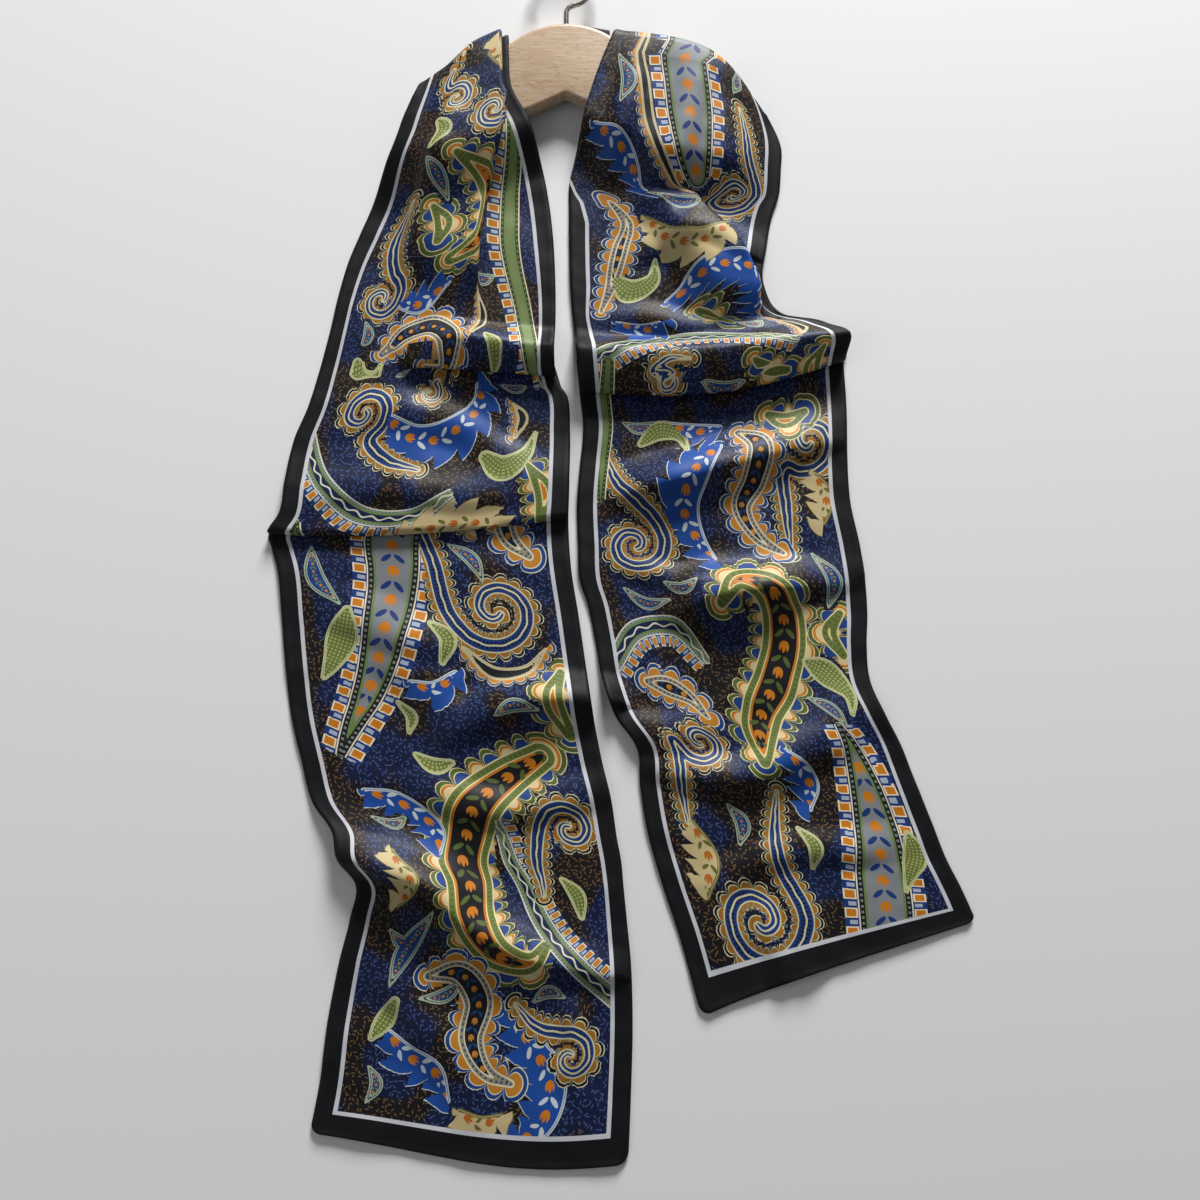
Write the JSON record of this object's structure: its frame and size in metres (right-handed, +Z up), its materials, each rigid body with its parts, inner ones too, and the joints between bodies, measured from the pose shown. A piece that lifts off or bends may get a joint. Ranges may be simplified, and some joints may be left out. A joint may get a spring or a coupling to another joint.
{
  "type": "skinny scarf on a small hanger",
  "caption": "Long narrow satin scarf laid flat round the neck of a small wooden hanger, its two ends lying side by side in loose pleats and folds.",
  "frame": {"origin": "bottom centre of the bounding box, on the surface that the scarf lies on", "axes": "+Y from the hems towards the hanger's hook, +X to the right as seen from above with the hook at the top, +Z up from the surface"},
  "size_m": [0.3812, 0.6986, 0.0236],
  "materials": {
    "satin": "printed satin, soft sheen",
    "beech": "satin lacquered beech",
    "wire": "bright plated wire"
  },
  "bodies": {
    "root": {"left_fall_upper": "satin", "left_fall_lower": "satin", "neck_stretch": "satin", "right_fall_upper": "satin", "right_fall_lower": "satin", "hanger_wood": "beech", "hanger_hook": "wire"}
  },
  "joints": []
}
